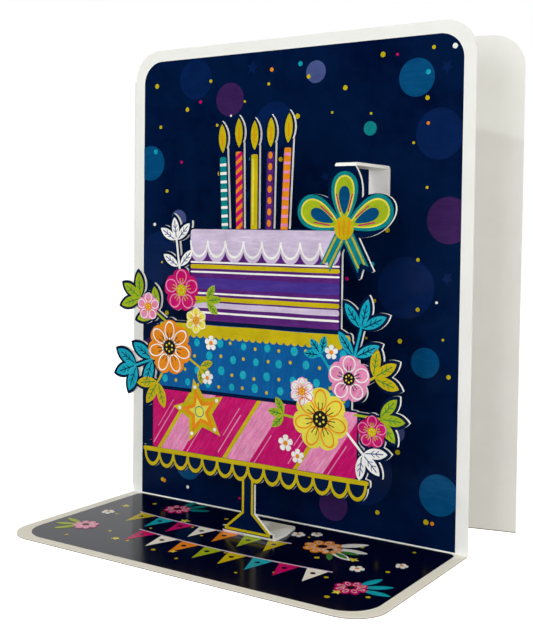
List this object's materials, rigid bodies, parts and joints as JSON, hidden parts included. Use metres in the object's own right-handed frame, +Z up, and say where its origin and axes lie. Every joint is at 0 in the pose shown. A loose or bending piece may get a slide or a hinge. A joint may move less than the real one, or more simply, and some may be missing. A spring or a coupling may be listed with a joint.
{
  "type": "pop-up greeting card",
  "caption": "Greeting card standing open: a dark printed wall and base folded from one sheet with a plain rear leaf, and a die-cut tiered cake sheet standing in front.",
  "frame": {"origin": "middle of the base's underside, on the surface that the card stands on", "axes": "+Z up along the wall, +X to the right along the fold between wall and base, +Y back from the base's front edge towards the wall and the rear leaf"},
  "size_m": [0.1553, 0.1112, 0.185],
  "materials": {
    "card": "smooth white card stock, printed on its inner wall and base",
    "board": "white board with white cut edges, printed on its front"
  },
  "bodies": {
    "root": {"card_sheet": "card", "popup_sheet": "board"}
  },
  "joints": []
}
